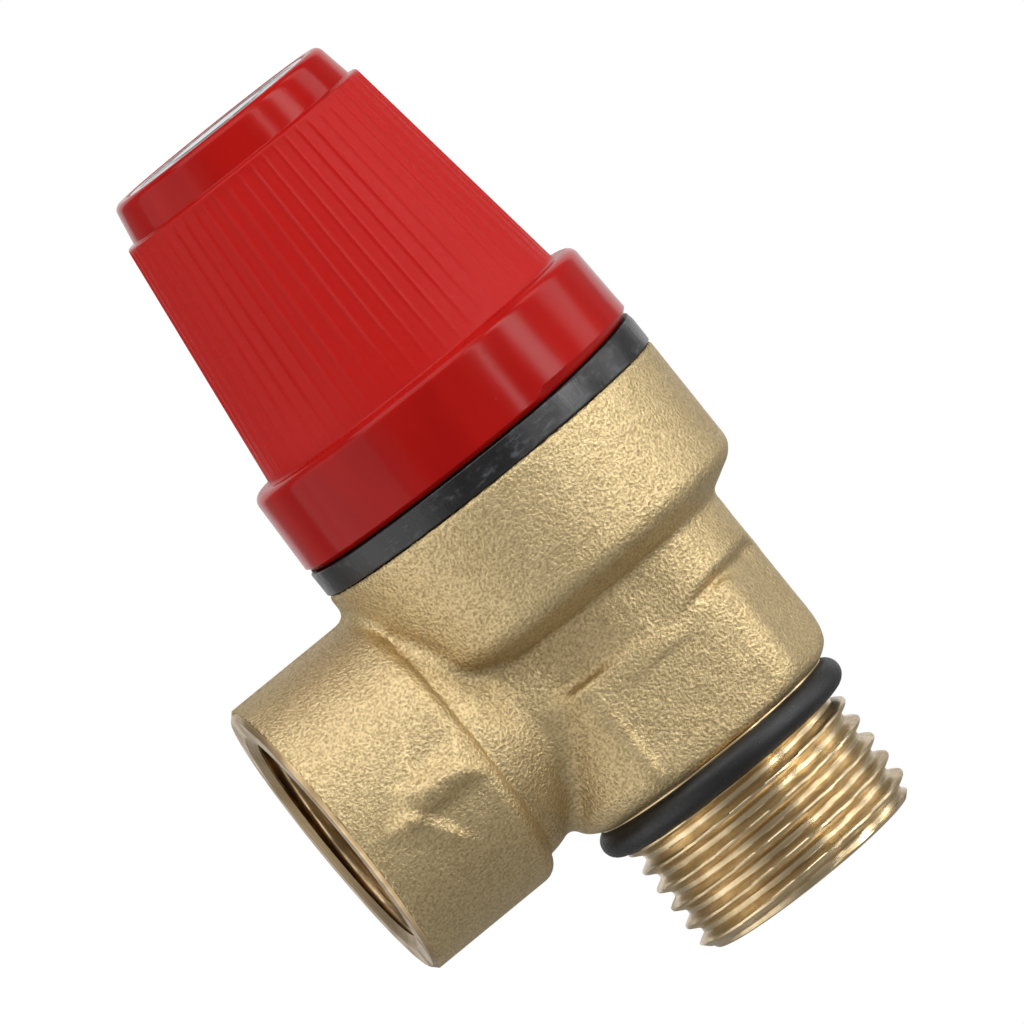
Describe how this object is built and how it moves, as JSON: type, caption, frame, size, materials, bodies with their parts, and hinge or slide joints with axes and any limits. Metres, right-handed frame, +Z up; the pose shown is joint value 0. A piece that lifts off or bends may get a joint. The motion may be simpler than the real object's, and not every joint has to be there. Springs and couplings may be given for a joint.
{
  "type": "pressure relief valve",
  "caption": "Angle pressure relief valve: forged brass body, male threaded inlet with sealing ring, female threaded outlet, spring-loaded diaphragm seal and a red ribbed test knob on a cam.",
  "frame": {"origin": "centre of the inlet's end face, on the main axis", "axes": "+Z up the main axis from the inlet to the knob, the outlet points towards -X, one of the two spanner flats faces -Y"},
  "size_m": [0.0444, 0.0324, 0.0749],
  "materials": {
    "forged_brass": "shot-blasted forged brass, machined at the threads",
    "turned_brass": "turned",
    "plated_steel": "zinc plated",
    "spring_steel": "drawn wire, oiled",
    "rubber": "matte moulded EPDM",
    "black_nylon": "moulded, slightly glossy",
    "red_plastic": "moulded, glossy collar and cap, satin ribs",
    "silver_label": "smooth disc"
  },
  "bodies": {
    "housing": {"valve_body": "forged_brass", "inlet_sealing_ring": "rubber", "diaphragm": "rubber", "slip_ring": "turned_brass", "bonnet": "black_nylon", "spring": "spring_steel", "upper_spring_seat": "plated_steel", "adjusting_nut": "turned_brass"},
    "knob_lift_washer": {"knob_washer": "plated_steel"},
    "knob_group": {"knob": "red_plastic", "knob_badge": "silver_label"},
    "stem_group": {"stem": "turned_brass", "disc_screw": "plated_steel", "disc_washer": "plated_steel", "seal_disc": "rubber", "disc_holder": "turned_brass", "diaphragm_washer": "turned_brass", "spring_plate": "turned_brass", "knob_screw": "plated_steel"}
  },
  "joints": [
    {"name": "cam_lift", "type": "slide", "parent": "housing", "child": "knob_lift_washer", "axis": [0, 0, 1], "range_m": [0, 0.00061389]},
    {"name": "knob_turn", "type": "hinge", "parent": "knob_lift_washer", "child": "knob_group", "pos_m": [0, 0, 0.043], "axis": [0, 0, 1], "range_deg": [0, 85]},
    {"name": "relief_lift", "type": "slide", "parent": "knob_lift_washer", "child": "stem_group", "axis": [0, 0, 1], "range_m": [0, 0.0012], "stiffness_N_per_m": 5000, "deforming": ["spring", "diaphragm"]}
  ],
  "couplings": [
    {"joint": "knob_turn", "follows": "cam_lift", "rad_per_m": 2416.6}
  ]
}
